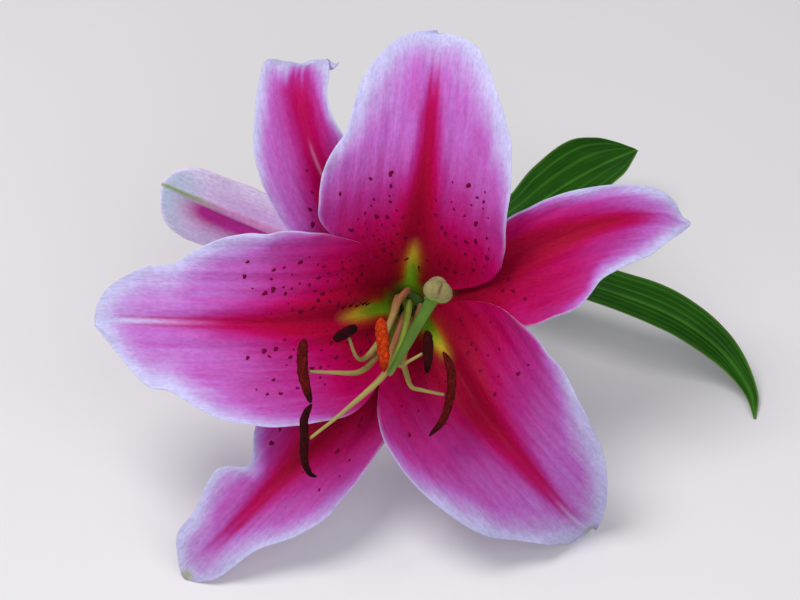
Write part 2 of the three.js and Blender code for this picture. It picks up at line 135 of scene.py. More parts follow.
def noise(x, y, seed):
    """Smooth noise between -1 and 1, one bump to a unit of x and of y."""
    lattice = np.random.RandomState(seed).uniform(-1, 1, (LATTICE, LATTICE))
    x, y = np.broadcast_arrays(x, y)
    column, row = np.floor(x).astype(int), np.floor(y).astype(int)
    dx, dy = rise(0, 1, x - column), rise(0, 1, y - row)

    def corner(i, j):
        return lattice[(row + j) % LATTICE, (column + i) % LATTICE]

    return lerp(lerp(corner(0, 0), corner(1, 0), dx), lerp(corner(0, 1), corner(1, 1), dx), dy)


def ease(a, b, leave, arrive, s):
    """From a (s = 0) to b (s = 1), leaving and arriving with the given slopes."""
    return (
        a * (2 * s**3 - 3 * s**2 + 1)
        + b * (3 * s**2 - 2 * s**3)
        + leave * (s**3 - 2 * s**2 + s)
        + arrive * (s**3 - s**2)
    )


def profile_at(stations, t):
    """Values at t of a smooth profile through (t, value) stations, held between neighbouring values."""
    at, value = np.array(stations, float).T
    i = np.clip(np.searchsorted(at, t, side="left"), 1, len(at) - 1)
    before, after = np.maximum(i - 2, 0), np.minimum(i + 1, len(at) - 1)
    step = at[i] - at[i - 1]
    s = np.clip((t - at[i - 1]) / step, 0, 1)
    slope_from = (value[i] - value[before]) / (at[i] - at[before]) * step
    slope_to = (value[after] - value[i - 1]) / (at[after] - at[i - 1]) * step
    found = ease(value[i - 1], value[i], slope_from, slope_to, s)
    return np.clip(found, np.minimum(value[i - 1], value[i]), np.maximum(value[i - 1], value[i]))


def unit(vectors):
    return vectors / np.maximum(np.linalg.norm(vectors, axis=-1, keepdims=True), 1e-12)


class Curve:
    """A smooth curve through points, read by its share of length."""

    POINTS_PER_SPAN = 40

    def __init__(self, points):
        p = np.array(points, float)
        p = np.vstack([2 * p[0] - p[1], p, 2 * p[-1] - p[-2]])
        s = np.linspace(0, 1, self.POINTS_PER_SPAN, endpoint=False)[:, None]
        dense = []
        for a, b, c, d in zip(p, p[1:], p[2:], p[3:]):
            ab, bc, cd = (math.sqrt(np.linalg.norm(v)) for v in (b - a, c - b, d - c))
            leave = ((b - a) / ab - (c - a) / (ab + bc) + (c - b) / bc) * bc
            arrive = ((c - b) / bc - (d - b) / (bc + cd) + (d - c) / cd) * bc
            dense.append(ease(b, c, leave, arrive, s))
        self.points = np.vstack([*dense, p[-2]])
        steps = np.linalg.norm(np.diff(self.points, axis=0), axis=1)
        self.run = np.concatenate([[0], np.cumsum(steps)])
        self.length = self.run[-1]
        self.tangents = unit(np.gradient(self.points, axis=0))

    def _read(self, values, t):
        return np.stack([np.interp(t * self.length, self.run, column) for column in values.T], axis=-1)

    def at(self, t):
        return self._read(self.points, t)

    def tangent(self, t):
        return unit(self._read(self.tangents, t))


# ---- colours ----
def colour(code):
    """A colour written as it looks on a screen, as linear light."""
    s = np.array([int(code[i : i + 2], 16) / 255 for i in (1, 3, 5)])
    return np.where(s <= 0.04045, s / 12.92, ((s + 0.055) / 1.055) ** 2.4)


def blend(a, b, share):
    """Colour a turned towards b by share, which is a number for each point."""
    return lerp(a, b, np.asarray(share, float)[..., None])


def ramp(stops, q):
    """Colours at q along (place, colour) stops."""
    places = [s[0] for s in stops]
    return np.stack([np.interp(q, places, [s[1][k] for s in stops]) for k in range(3)], axis=-1)


# ---- meshes ----
def grid_faces(rows, columns, start=0, closed=False):
    """Faces over a grid of points, its columns joined round when closed."""
    across = columns if closed else columns - 1
    i, j = np.meshgrid(np.arange(rows - 1), np.arange(across), indexing="ij")
    j_next = (j + 1) % columns
    corners = (i * columns + j, i * columns + j_next, (i + 1) * columns + j_next, (i + 1) * columns + j)
    return np.stack([start + c for c in corners], axis=-1).reshape(-1, 4)


def add_object(name, data):
    made = bpy.data.objects.new(name, data)
    bpy.context.scene.collection.objects.link(made)
    return made


def add_mesh(name, points, faces, tint, flow, material, replaced=None):
    """A piece from row-frame points in mm, none of them below the surface that it lies on.

    tint is the painted colour of each point, and flow its coordinates along and across the grain.
    """
    metres = points * MM
    metres[:, 2] = np.maximum(metres[:, 2], cad_low.z)
    mesh = bpy.data.meshes.new(name)
    mesh.from_pydata(metres.tolist(), [], [list(map(int, f)) for f in faces])
    mesh.polygons.foreach_set("use_smooth", [True] * len(mesh.polygons))
    painted = mesh.attributes.new("tint", "FLOAT_COLOR", "POINT")
    rgba = np.concatenate([tint, np.ones((len(tint), 1))], axis=1)
    painted.data.foreach_set("color", rgba.astype(np.float32).ravel())
    grain = mesh.attributes.new("flow", "FLOAT_VECTOR", "POINT")
    grain.data.foreach_set("vector", flow.astype(np.float32).ravel())
    mesh.validate()
    mesh.materials.append(material)
    piece = add_object(name, mesh)
    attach(piece, BODY)
    if replaced:
        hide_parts(replaced)


def along_blade(values, t):
    """Passes from the foot's value to the middle's, and on to the tip's if there is a third."""
    foot, middle, tip = values if len(values) > 2 else (*values, values[1])
    return lerp(foot, middle, rise(0, 0.25, t)) + (tip - middle) * rise(0.4, 0.85, t)


def grid_normals(points):
    return unit(np.cross(np.gradient(points, axis=1), np.gradient(points, axis=0)))


def around(centre, side, up, x, y):
    """Points that lie x to the side and y up from the centre of their row."""
    return centre[:, None] + side[:, None] * x[..., None] + up[:, None] * y[..., None]


class Blade:
    """A petal or leaf as a grid of points over t, from foot to tip, and u, from left (1) to right (-1).

    bearing is the flat direction that it points in and wrap half the angle that its width curls
    through, both in degrees. left and right are half widths as shares of width, relief gives the
    height of its creases, and ragged is how far its edge wanders.
    """

    EVENNESS = 0.6  # 1 spaces the rows evenly, 0 crowds them at the foot and the tip
    MIDRIB_CROWDING = 1.2  # over 1 crowds the columns at the midrib

    def __init__(self, midrib, bearing, width, left, right, wrap, relief, ragged, seed):
        curve = Curve(midrib)
        rows = int(curve.length / BLADE_ROW_STEP)
        columns = int(width / BLADE_COLUMN_STEP / 2) * 2
        even = np.linspace(0, 1, rows + 1)[:, None]
        t = lerp(0.5 - 0.5 * np.cos(np.pi * even), even, self.EVENNESS)
        s = np.linspace(1, -1, columns + 1)[None, :]
        u = np.sign(s) * np.abs(s) ** self.MIDRIB_CROWDING
        tangent = curve.tangent(t[:, 0])
        heading = np.radians(along_blade(bearing, t[:, 0]))
        leftward = np.stack([-np.sin(heading), np.cos(heading), np.zeros_like(heading)], axis=-1)
        across = np.sum(leftward * tangent, axis=-1, keepdims=True)
        side = unit(leftward - across * tangent)
        up = np.cross(tangent, side)
        half = width * np.where(u > 0, profile_at(left, t), profile_at(right, t))
        half *= 1 + ragged * noise(t * 17, np.sign(u) * 3 + 5, seed)
        roll = np.radians(along_blade(wrap, t))
        lift = half * (1 - np.cos(roll * u)) / roll
        flat = around(curve.at(t[:, 0]), side, up, half * np.sin(roll * u) / roll, lift)
        self.t, self.u = np.broadcast_arrays(t, u)
        self.length = curve.length
        self.half = half
        self.across = half * u
        self.inward = np.minimum(half - np.abs(self.across), (1 - self.t) * curve.length * 0.9)
        self.points = flat + grid_normals(flat) * relief(self)[..., None]
        self.normal = grid_normals(self.points)

    def at(self, t, u):
        """Point, normal and direction along the blade at the grid point nearest to t and u."""
        i = int(np.argmin(np.abs(self.t[:, 0] - t)))
        j = int(np.argmin(np.abs(self.u[0] - u)))
        ahead = self.points[min(i + 1, len(self.points) - 1), j] - self.points[max(i - 1, 0), j]
        return self.points[i, j], self.normal[i, j], unit(ahead)

    def shell(self, edge, rib):
        """A closed shell, edge thick, thinner at its margin and rib thick where its midrib starts."""
        margin, rib_half_width, rib_taper = 0.8, 3, 0.7
        rows, columns = self.t.shape
        raised = np.maximum(rib * (1 - rib_taper * self.t) - edge, 0) * bell(self.across, rib_half_width)
        rounding = np.clip(self.inward / margin, 0.25, 1)
        thickness = np.minimum(edge * rounding + raised, 0.6 * self.half + 0.3)
        bottom = self.points - self.normal * thickness[..., None]
        count = rows * columns
        top_faces = grid_faces(rows, columns)[:, ::-1]
        bottom_faces = grid_faces(rows, columns, count)
        index = np.arange(count).reshape(rows, columns)
        rim = np.concatenate([index[0, :], index[1:, -1], index[-1, -2::-1], index[-2:0:-1, 0]])
        after = np.roll(rim, -1)
        walls = np.stack([rim, after, after + count, rim + count], axis=-1)
        points = np.concatenate([self.points.reshape(-1, 3), bottom.reshape(-1, 3)])
        return points, np.concatenate([top_faces, bottom_faces, walls])

    def flow(self):
        """Grain coordinates: mm across, mm along, and 0 on the upper side or 1 below."""
        upper = np.stack([self.across, self.t * self.length, 0 * self.t], axis=-1).reshape(-1, 3)
        return np.concatenate([upper, upper + (0, 0, 1)])


def add_blade(name, blade, place, inner, outer, material, edge=TEPAL_EDGE, rib=TEPAL_MIDRIB):
    points, faces = blade.shell(edge, rib)
    tint = np.concatenate([inner.reshape(-1, 3), outer.reshape(-1, 3)])
    add_mesh(f"{name}_blade", place(points), faces, tint, blade.flow(), material, name)


def tube(points, radius_at, sides, steps, section=None):
    """Rings round a curve. section(t, angle) is a share of the radius.

    Returns points and faces, then t, angle and grain coordinates for each point.
    """
    curve = Curve(points)
    t = np.linspace(0, 1, steps + 1)
    centre, tangent = curve.at(t), curve.tangent(t)
    normal = unit(np.cross(tangent[0], [0.3, 0.2, 1.0]))
    normals = []
    for direction in tangent:
        normal = unit(normal - np.dot(normal, direction) * direction)
        normals.append(normal)
    normals = np.array(normals)
    binormals = np.cross(tangent, normals)
    angle = 2 * np.pi * np.arange(sides) / sides
    t_grid, angle_grid = np.meshgrid(t, angle, indexing="ij")
    radius = radius_at(t_grid)
    if section:
        radius *= section(t_grid, angle_grid)
    rings = around(centre, normals, binormals, radius * np.cos(angle_grid), radius * np.sin(angle_grid))
    faces = grid_faces(steps + 1, sides, closed=True).tolist()
    faces.append(list(range(sides))[::-1])
    faces.append([steps * sides + j for j in range(sides)])
    flow = np.stack([radius * angle_grid, t_grid * curve.length, np.zeros_like(t_grid)], axis=-1)
    return rings.reshape(-1, 3), faces, t_grid.ravel(), angle_grid.ravel(), flow.reshape(-1, 3)


# ---- materials ----
NOISE_LOW, NOISE_HIGH = 0.3, 0.7  # most of a noise pattern lies between these


class Nodes:
    """A material's node tree with a Principled shader, and short calls that add nodes to it."""

    def __init__(self, name):
        self.material = bpy.data.materials.new(name)
        self.material.use_nodes = True
        self.tree = self.material.node_tree
        self.shader = self.tree.nodes["Principled BSDF"]

    def add(self, kind, output, inputs=None, **settings):
        """The named output of a new shader node."""
        node = self.tree.nodes.new("ShaderNode" + kind)
        for key, value in settings.items():
            setattr(node, key, value)
        for key, value in (inputs or {}).items():
            self.feed(node.inputs[key], value)
        return node.outputs[output]

    def feed(self, socket, value):
        if isinstance(value, bpy.types.NodeSocket):
            self.tree.links.new(value, socket)
        else:
            socket.default_value = value

    def attribute(self, name, output):
        return self.add("Attribute", output, attribute_name=name)

    def noise(self, vector, stretch, detail):
        mapped = self.add("Mapping", "Vector", {"Vector": vector, "Scale": stretch})
        inputs = {"Vector": mapped, "Scale": 1.0, "Detail": detail, "Roughness": 0.55}
        return self.add("TexNoise", "Fac", inputs)

    def spread(self, value, low, high, to_low, to_high):
        inputs = {"Value": value, "From Min": low, "From Max": high, "To Min": to_low, "To Max": to_high}
        return self.add("MapRange", "Result", inputs)

    def scale(self, base, share):
        return self.add("VectorMath", "Vector", {0: base, "Scale": share}, operation="SCALE")

    def vary(self, base, pattern, depth):
        """base made darker where pattern is low and lighter where it is high, by up to depth."""
        return self.scale(base, self.spread(pattern, NOISE_LOW, NOISE_HIGH, 1 - depth, 1 + depth))

    def mix(self, share, a, b):
        """Colour a turned towards b. A Mix node's colour sockets stand behind its number sockets."""
        factor, colour_a, colour_b, colour_result = 0, 6, 7, 2
        inputs = {factor: share, colour_a: a, colour_b: b}
        return self.add("Mix", colour_result, inputs, data_type="RGBA")

    def bump(self, height, strength, distance, normal=None):
        """A bump up to distance mm high, over another bump's normal if there is one."""
        inputs = {"Height": height, "Strength": strength, "Distance": distance * MM}
        if normal:
            inputs["Normal"] = normal
        return self.add("Bump", "Normal", inputs)

    def finish(self, base, roughness, normal, **sockets):
        self.feed(self.shader.inputs["Base Color"], base)
        self.feed(self.shader.inputs["Roughness"], roughness)
        self.feed(self.shader.inputs["Normal"], normal)
        for name, value in sockets.items():
            self.shader.inputs[name.replace("_", " ")].default_value = value
        return self.material


def petal_material():
    """Silky skin: faint veins along the tepal, shallow puckers and fine cells over the tint."""
    n = Nodes("petal skin")
    flow = n.attribute("flow", "Vector")
    veins = n.noise(flow, (1.9, 0.12, 1.0), detail=3)
    puckers = n.noise(flow, (1.1, 0.55, 1.0), detail=2)
    cells = n.noise(flow, (4.5, 3.2, 1.0), detail=2)
    base = n.vary(n.attribute("tint", "Color"), veins, 0.07)
    base = n.vary(base, puckers, 0.1)
    base = n.vary(base, cells, 0.07)
    normal = n.bump(veins, 0.35, 0.25)
    normal = n.bump(puckers, 0.45, 0.5, normal)
    normal = n.bump(cells, 0.25, 0.12, normal)
    return n.finish(
        base, n.spread(cells, NOISE_LOW, NOISE_HIGH, 0.5, 0.68), normal,
        Subsurface_Weight=0.1, Subsurface_Scale=0.002, Subsurface_Radius=(1.0, 0.3, 0.7),
        Specular_IOR_Level=0.08,
    )


def plant_material(name, grain, roughness, shine=0.4, depth=0.3):
    """Green plant skin: fine lines that follow the growth, over the tint."""
    n = Nodes(name)
    flow = n.attribute("flow", "Vector")
    lines = n.noise(flow, grain, detail=3)
    blotches = n.noise(flow, (0.12, 0.08, 1.0), detail=2)
    base = n.vary(n.attribute("tint", "Color"), lines, 0.16)
    base = n.vary(base, blotches, 0.15)
    return n.finish(
        base, n.spread(lines, NOISE_LOW, NOISE_HIGH, roughness - 0.06, roughness + 0.08),
        n.bump(lines, 0.5, depth),
        Subsurface_Weight=0.06, Subsurface_Scale=0.002, Subsurface_Radius=(0.5, 1.0, 0.2),
        Specular_IOR_Level=shine,
    )


def pollen_material():
    """Dry, rough dust: fine grains and clumps of them."""
    n = Nodes("pollen")
    place = n.add("TexCoord", "Object")
    grains = n.noise(place, (3200, 3200, 3200), detail=2)
    clumps = n.noise(place, (700, 700, 700), detail=2)
    base = n.scale(n.attribute("tint", "Color"), n.spread(grains, 0.35, 0.65, 0.55, 1.6))
    base = n.scale(base, n.spread(clumps, 0.35, 0.65, 0.75, 1.25))
    return n.finish(base, 0.9, n.bump(grains, 0.8, 0.25), Specular_IOR_Level=0.1)


def floor_material():
    n = Nodes("pale floor")
    place = n.add("TexCoord", "Object")
    mottle = n.noise(place, (3, 3, 3), detail=2)
    share = n.spread(mottle, NOISE_LOW, NOISE_HIGH, 0, 1)
    base = n.mix(share, (0.76, 0.74, 0.75, 1), (0.8, 0.78, 0.79, 1))
    return n.finish(base, 0.75, n.bump(mottle, 0.02, 0.1))


PETAL = petal_material()
LEAF = plant_material("leaf skin", (2.4, 0.03, 1.0), 0.5, shine=0.1)
STEM = plant_material("stem skin", (1.6, 0.05, 1.0), 0.45)
PISTIL = plant_material("pistil skin", (1.2, 0.1, 1.0), 0.5, shine=0.2, depth=0.12)
POLLEN = pollen_material()

# ---- how tepals are painted and creased ----
WHITE = colour("#d2d2fa")
LAVENDER = colour("#c8a0e0")
LILAC = colour("#c46cca")
MAGENTA = colour("#bc3094")
ROSE = colour("#be0062")
CRIMSON = colour("#b0003a")
DEEP_RED = colour("#98002a")
THROAT_GREEN = colour("#98d02a")
THROAT_YELLOW = colour("#dcc838")
ORANGE = colour("#d2480e")
PALE_LINE = colour("#dc8cc4")
OUTSIDE_GREEN = colour("#90a860")
SPOT = colour("#6c0030")
HAIR = colour("#30000c")
TIP_GREEN = colour("#a8b070")
# Blue-grey painted shade for the tip of the bud's flared sepal, which faces away from the light.
TIP_SHADE_BLUE = colour("#b8d0e0")
OUTSIDE_WHITE = colour("#f0e0ff")

# How deep a tepal's colour runs, from its white margin (0) to its deepest red.
DEEPEST = 1.4
PETAL_RAMP = [
    (0.0, WHITE), (0.14, LAVENDER), (0.34, LILAC), (0.58, MAGENTA), (0.82, ROSE), (1.05, CRIMSON),
    (DEEPEST, DEEP_RED),
]


def inside_depth(blade, look, wander, streaks):
    """How deep the colour of a tepal's inside runs, least in the margin and most in the throat."""
    t = blade.t
    flush = fall(*look["flush"], t + 0.12 * np.abs(blade.u) + 0.03 * wander)
    band = bell(np.abs(blade.across), lerp(look["band"], look["band_tip"], rise(0.15, 0.9, t)))
    band *= fall(look["band_end"] - 0.22, look["band_end"], t)
    reach = lerp(2.0, look["margin"], rise(0.35, 0.75, t))
    margin = fall(-0.6, reach, blade.inward + 0.8 * wander + 0.25 * streaks)
    margin *= rise(look["white_from"] - 0.2, look["white_from"] + 0.1, t)
    depth = 0.36 + 0.52 * flush * (0.7 + 0.3 * rise(0, 9, blade.inward))
    depth += look["band_strength"] * band
    depth = depth + 0.05 * streaks + 0.05 * wander + 0.35 * fall(0.08, 0.42, t)
    return depth * (1 - margin) * (1 - 0.4 * rise(0.75, 1.0, t))


def paint_throat(paint, t, across, look):
    """A green groove with orange edges, and green round the foot."""
    throat = fall(look["groove_end"] - 0.1, look["groove_end"] + 0.05, t)
    green = blend(THROAT_GREEN, THROAT_YELLOW, rise(0.1, 0.24, t))
    paint = blend(paint, ORANGE, 0.85 * throat * bell(across, look["groove"] * 2.1))
    paint = blend(paint, green, np.clip(1.5 * throat * bell(across, look["groove"]), 0, 1))
    return blend(paint, green, fall(0.03, 0.1, t) * bell(across, 4))


def paint_inside(blade, look, seed):
    """The upper side of an open tepal: white margin, lilac blade, crimson band and a green throat.

    A look's places along the tepal are shares of its length and its widths are mm. flush is where the
    magenta fades, band the half width of the crimson band at the foot, flank the dark lines beside the
    midrib, line the pale line on it, which on sepal_upper_left is a painted highlight along a fold,
    groove the throat's green groove, crest where white takes over, and shade a painted shade: a
    factor that darkens the whole tepal where less light falls on it.
    """
    t, across = blade.t, np.abs(blade.across)
    wander = noise(blade.across / 5 + 20, t * 9, seed)
    wander = wander + 0.5 * noise(blade.across / 2 + 9, t * 24, seed)
    streaks = noise(blade.across * 1.1 + 30, t * 9, seed + 1)
    crest = rise(look["crest"] - 0.1, look["crest"] + 0.06, t + 0.03 * wander + 0.03 * streaks)
    depth = inside_depth(blade, look, wander, streaks) * (1 - crest)
    paint = ramp(PETAL_RAMP, np.clip(depth, 0, DEEPEST))
    flank = bell(across - 1.1, 0.5) * rise(0.25, 0.35, t) * fall(0.8, 0.95, t)
    paint = blend(paint, CRIMSON, look["flank"] * flank * (1 - crest))
    line = bell(across, look["line_width"]) * rise(*look["line_t"], t)
    line *= fall(look["line_end"] - 0.08, look["line_end"], t)
    line_paint = blend(PALE_LINE, WHITE, rise(0.7, 0.9, t))
    paint = blend(paint, line_paint, look["line"] * line * (1 - crest))
    paint = paint_throat(paint, t, across, look)
    paint = blend(paint, WHITE, 0.8 * fall(0.25, 0.8, blade.inward) * rise(0.3, 0.45, t))
    paint = blend(paint, TIP_GREEN, look["tip"] * rise(0.965, 0.985, t) * bell(across, 2))
    # Painted shade: the look's shade factor darkens the whole tepal's colour where less light falls on it.
    return paint * look["shade"]


def paint_outside(blade, seed):
    """The lower side of a tepal: nearly white, blushed along a midrib that is green at its foot."""
    t, across = blade.t, np.abs(blade.across)
    wander = noise(blade.across / 5 + 9, t * 6, seed)
    streaks = noise(blade.across * 1.1 + 30, t * 8, seed + 1)
    paint = blend(OUTSIDE_WHITE, LAVENDER, 0.3 + 0.2 * wander + 0.2 * streaks)
    pink = 0.5 * bell(across, 6) * (0.7 + 0.4 * wander + 0.3 * streaks)
    paint = blend(paint, LILAC, np.clip(pink, 0, 1))
    paint = blend(paint, 0.8 * OUTSIDE_GREEN, 0.9 * fall(0.06, 0.26, t))
    rib = blend(OUTSIDE_GREEN, LILAC, rise(0.35, 0.75, t))
    return blend(paint, rib, 0.85 * bell(across, 1.6))


def tepal_relief(groove, ruffle, seed):
    """Creases of a tepal in mm: a channel along its midrib, shoulders, pleats and a ruffled margin."""

    def relief(blade):
        t, across = blade.t, np.abs(blade.across)
        depth = groove * rise(0.02, 0.12, t) * (1 - 0.75 * rise(0.35, 0.95, t))
        channel = -depth * bell(across, 1.7)
        shoulders = 0.55 * groove * bell(across - 4.6, 2.6) * np.sin(np.pi * t)
        pleats = 0.16 * np.cos(across * 1.25 + 1.5 * noise(t * 4, t * 0, seed)) * np.sin(np.pi * t)
        side = np.sign(blade.u)
        waves = noise(t * 9, side * 2 + 4, seed + 2) + 0.5 * noise(t * 21, side * 2 + 8, seed + 3)
        margin = rise(0.5, 1, np.abs(blade.u)) * rise(0.2, 0.45, t)
        swell = 0.5 * noise(blade.across / 9 + 12, t * 6, seed + 4) * rise(0.1, 0.3, t)
        return channel + shoulders + pleats + ruffle * waves * margin + swell

    return relief


# ---- the six tepals of the open bloom: petals inside, sepals outside ----
# shade is a painted shade that darkens a tepal's whole colour for the light it lies in; looks that don't
# set it take 0.9.
PETAL_LOOK = dict(
    shade=0.9, tip=0.0, flush=(0.3, 0.74), band=9, band_tip=2.2, band_end=0.98, band_strength=0.42,
    flank=0.5, line=0.5, line_t=(0.3, 0.4), line_end=1.1, line_width=0.4, margin=13, white_from=0.5,
    groove=1.7, groove_end=0.26, crest=1.2,
)
SEPAL_LOOK = PETAL_LOOK | dict(
    flush=(0.42, 0.94), band=7, margin=7, white_from=0.6, groove_end=0.15, line=0.0
)
PETAL_RING = dict(
    outward=0.5, level=1.5, wrap=(46, 34, 15), width=PETAL_WIDTH, channel=1.4, look=PETAL_LOOK,
)
SEPAL_RING = dict(
    outward=TEPAL_MIDRIB + 1.3, level=0, wrap=(40, 30, 12), width=SEPAL_WIDTH, channel=0.9,
    look=SEPAL_LOOK,
)


def tepal_foot(bearing, ring):
    """Where a tepal starts, drawn a little further in and down than its CAD sheet so that they all join."""
    radius = RECEPTACLE_RADIUS - CLEARANCE + 0.6 * ring["outward"]
    angle = math.radians(bearing)
    return (radius * math.cos(angle), radius * math.sin(angle), ring["level"] - 0.6)


def dome(centre, normal, along, radius, height, lean, wobble):
    """Points and faces of a small closed dome of uneven outline, or of a leaning hair when it is tall."""
    sides, rings = 12, 5
    side = unit(np.cross(normal, along))
    points = []
    for k in range(rings):
        share = k / rings
        spread = math.sqrt(1 - share**2) * radius
        middle = centre + normal * (height * share - SPOT_SINK) + along * (lean * height * share**2)
        for a in 2 * np.pi * np.arange(sides) / sides:
            uneven = spread * (1 + 0.22 * math.cos(2 * a + wobble) + 0.14 * math.cos(3 * a + 2 * wobble))
            points.append(middle + side * (uneven * math.cos(a)) + along * (1.2 * uneven * math.sin(a)))
    points.append(centre + normal * (height - SPOT_SINK) + along * (lean * height))
    faces = grid_faces(rings, sides, closed=True)[:, [0, 3, 2, 1]].tolist()
    last = (rings - 1) * sides
    faces += [[last + j, rings * sides, last + (j + 1) % sides] for j in range(sides)]
    return points, [*faces, list(range(sides))]


def add_papillae(name, blade, spots, seed):
    """Raised spots scattered over the inside of a tepal, more of them near the throat, and a few hairs."""
    random = np.random.RandomState(seed)
    points, faces, tint, kept = [], [], [], []

    def keep(centre, normal, along, radius, height, lean=0.0, shade=SPOT):
        more, their_faces = dome(centre, normal, along, radius, height, lean, random.uniform(0, 6))
        faces.extend([len(points) + i for i in f] for f in their_faces)
        points.extend(more)
        tint.extend([shade] * len(more))
        kept.append(centre)

    for _ in range(SPOT_TRIES):
        if len(kept) == spots["count"]:
            break
        t = lerp(*spots["t"], random.uniform() ** 1.3)
        side = 1 if random.uniform() < spots["left_share"] else -1
        centre, normal, along = blade.at(t, side * random.uniform(*spots["u"]))
        radius = 0.32 + 0.5 * random.uniform() ** 1.6
        if all(np.linalg.norm(centre - other) > SPOT_SPACING for other in kept):
            keep(centre, normal, along, radius, random.uniform(0.2, 0.42))
    for k in range(spots.get("hairs", 0)):
        centre, normal, along = blade.at(0.17 + 0.028 * k, -0.11 - 0.02 * (k % 2))
        keep(centre, normal, np.cross(along, normal), 0.28, random.uniform(1.2, 1.7), lean=1.3, shade=HAIR)
    points = np.array(points)
    add_mesh(f"{name}_papillae", from_bloom(points), faces, np.array(tint), points, PETAL)


def add_tepal(name, seed, ring, bearing, look, midrib, left, right, spots):
    blade = Blade(
        midrib=[tepal_foot(bearing[0], ring), *midrib], bearing=bearing, width=ring["width"],
        left=left, right=right, wrap=ring["wrap"],
        relief=tepal_relief(ring["channel"], 0.9, seed), ragged=0.012, seed=seed,
    )
    inside = paint_inside(blade, ring["look"] | look, seed)
    add_blade(name, blade, from_bloom, inside, paint_outside(blade, seed + 5), PETAL)
    add_papillae(name, blade, spots, seed + 7)


add_tepal(
    "petal_top", 100, PETAL_RING, bearing=(80, 83),
    look=dict(flush=(0.3, 0.7), band=5, band_end=0.92, band_strength=0.6, line=0.0, crest=0.98),
    midrib=[(1, 9, 12), (2, 18, 25), (5, 38, 38), (7, 59, 43), (8.5, 74, 39), (9.5, 80.5, 33)],
    left=[(0, 0.1), (0.1, 0.18), (0.2, 0.27), (0.3, 0.42), (0.38, 0.55), (0.45, 0.57), (0.55, 0.555),
          (0.65, 0.44), (0.8, 0.38), (0.9, 0.26), (0.97, 0.13), (1, 0.02)],
    right=[(0, 0.08), (0.1, 0.18), (0.2, 0.38), (0.3, 0.5), (0.4, 0.49), (0.6, 0.45), (0.7, 0.41),
           (0.8, 0.33), (0.9, 0.25), (0.97, 0.15), (1, 0.02)],
    spots=dict(count=72, t=(0.2, 0.53), u=(0.12, 0.85), left_share=0.5, hairs=1),
)
add_tepal(
    "petal_left", 110, PETAL_RING, bearing=(200, 184),
    look=dict(flush=(0.28, 0.76), band=8, band_end=0.82, band_strength=0.37, line=0.8,
              line_t=(0.6, 0.85), line_width=0.7, crest=0.98),
    midrib=[(-9, -1.5, 12), (-19, -4, 27), (-40.5, -6, 40), (-64.5, -5.5, 45), (-83.5, -5, 41),
            (-93, -5.5, 35)],
    left=[(0, 0.08), (0.1, 0.13), (0.2, 0.31), (0.3, 0.5), (0.42, 0.56), (0.6, 0.54), (0.68, 0.47),
          (0.76, 0.37), (0.82, 0.34), (0.9, 0.21), (0.96, 0.1), (1, 0.02)],
    right=[(0, 0.1), (0.1, 0.2), (0.2, 0.36), (0.3, 0.44), (0.45, 0.5), (0.62, 0.47), (0.7, 0.4),
           (0.76, 0.31), (0.84, 0.28), (0.92, 0.2), (0.98, 0.1), (1, 0.02)],
    spots=dict(count=84, t=(0.2, 0.58), u=(0.1, 0.72), left_share=0.42, hairs=5),
)
add_tepal(
    "petal_lower_right", 120, PETAL_RING, bearing=(320, 309),
    # shade here is a deeper painted shade, as this petal lies in less light.
    look=dict(flush=(0.32, 0.8), band=8, band_end=0.92, line=0.7, line_t=(0.75, 0.95), shade=0.72,
              tip=0.6),
    midrib=[(6, -7.5, 12), (12.5, -17, 27), (22.5, -33, 37), (36.5, -50, 38), (48.5, -63.5, 30),
            (55, -68.5, 19)],
    left=[(0, 0.08), (0.1, 0.14), (0.2, 0.29), (0.3, 0.42), (0.42, 0.49), (0.55, 0.48), (0.7, 0.4),
          (0.8, 0.33), (0.9, 0.21), (0.97, 0.11), (1, 0.03)],
    right=[(0, 0.08), (0.1, 0.15), (0.2, 0.3), (0.3, 0.45), (0.44, 0.54), (0.6, 0.5), (0.72, 0.42),
           (0.8, 0.3), (0.9, 0.16), (0.97, 0.1), (1, 0.03)],
    spots=dict(count=36, t=(0.2, 0.46), u=(0.12, 0.75), left_share=0.4),
)
add_tepal(
    # shade here is a painted shade for the light this sepal lies in.
    "sepal_right", 130, SEPAL_RING, bearing=(20, 17), look=dict(flush=(0.5, 1.0), margin=6, shade=0.84),
    midrib=[(11, 4, 10), (21.5, 9, 21), (40.5, 18, 31), (60.5, 24.5, 33), (75.5, 25.5, 30),
            (84.5, 24, 25)],
    left=[(0, 0.14), (0.1, 0.2), (0.25, 0.27), (0.45, 0.33), (0.6, 0.36), (0.75, 0.31), (0.88, 0.25),
          (0.94, 0.15), (0.97, 0.05), (1, 0.02)],
    right=[(0, 0.14), (0.1, 0.2), (0.2, 0.42), (0.32, 0.6), (0.5, 0.67), (0.57, 0.65), (0.65, 0.49),
           (0.75, 0.41), (0.84, 0.35), (0.9, 0.24), (0.97, 0.1), (1, 0.02)],
    spots=dict(count=5, t=(0.25, 0.4), u=(0.2, 0.7), left_share=0.5),
)
add_tepal(
    "sepal_lower_left", 140, SEPAL_RING, bearing=(260, 231),
    # shade here is a deeper painted shade, as this sepal lies in less light.
    look=dict(flush=(0.4, 0.84), margin=9, shade=0.78, tip=0.8),
    midrib=[(-5.5, -11, 10), (-12, -21, 21), (-26.5, -39, 31), (-43.5, -57.5, 37), (-58.5, -73, 37),
            (-66.5, -81.5, 33)],
    left=[(0, 0.14), (0.12, 0.22), (0.3, 0.46), (0.45, 0.53), (0.6, 0.55), (0.7, 0.47), (0.8, 0.3),
          (0.88, 0.24), (0.94, 0.2), (0.98, 0.11), (1, 0.03)],
    right=[(0, 0.14), (0.12, 0.22), (0.3, 0.36), (0.5, 0.54), (0.58, 0.47), (0.64, 0.32), (0.67, 0.29),
           (0.7, 0.4), (0.74, 0.46), (0.85, 0.34), (0.92, 0.3), (0.98, 0.12), (1, 0.03)],
    spots=dict(count=22, t=(0.28, 0.6), u=(0.12, 0.7), left_share=0.5),
)
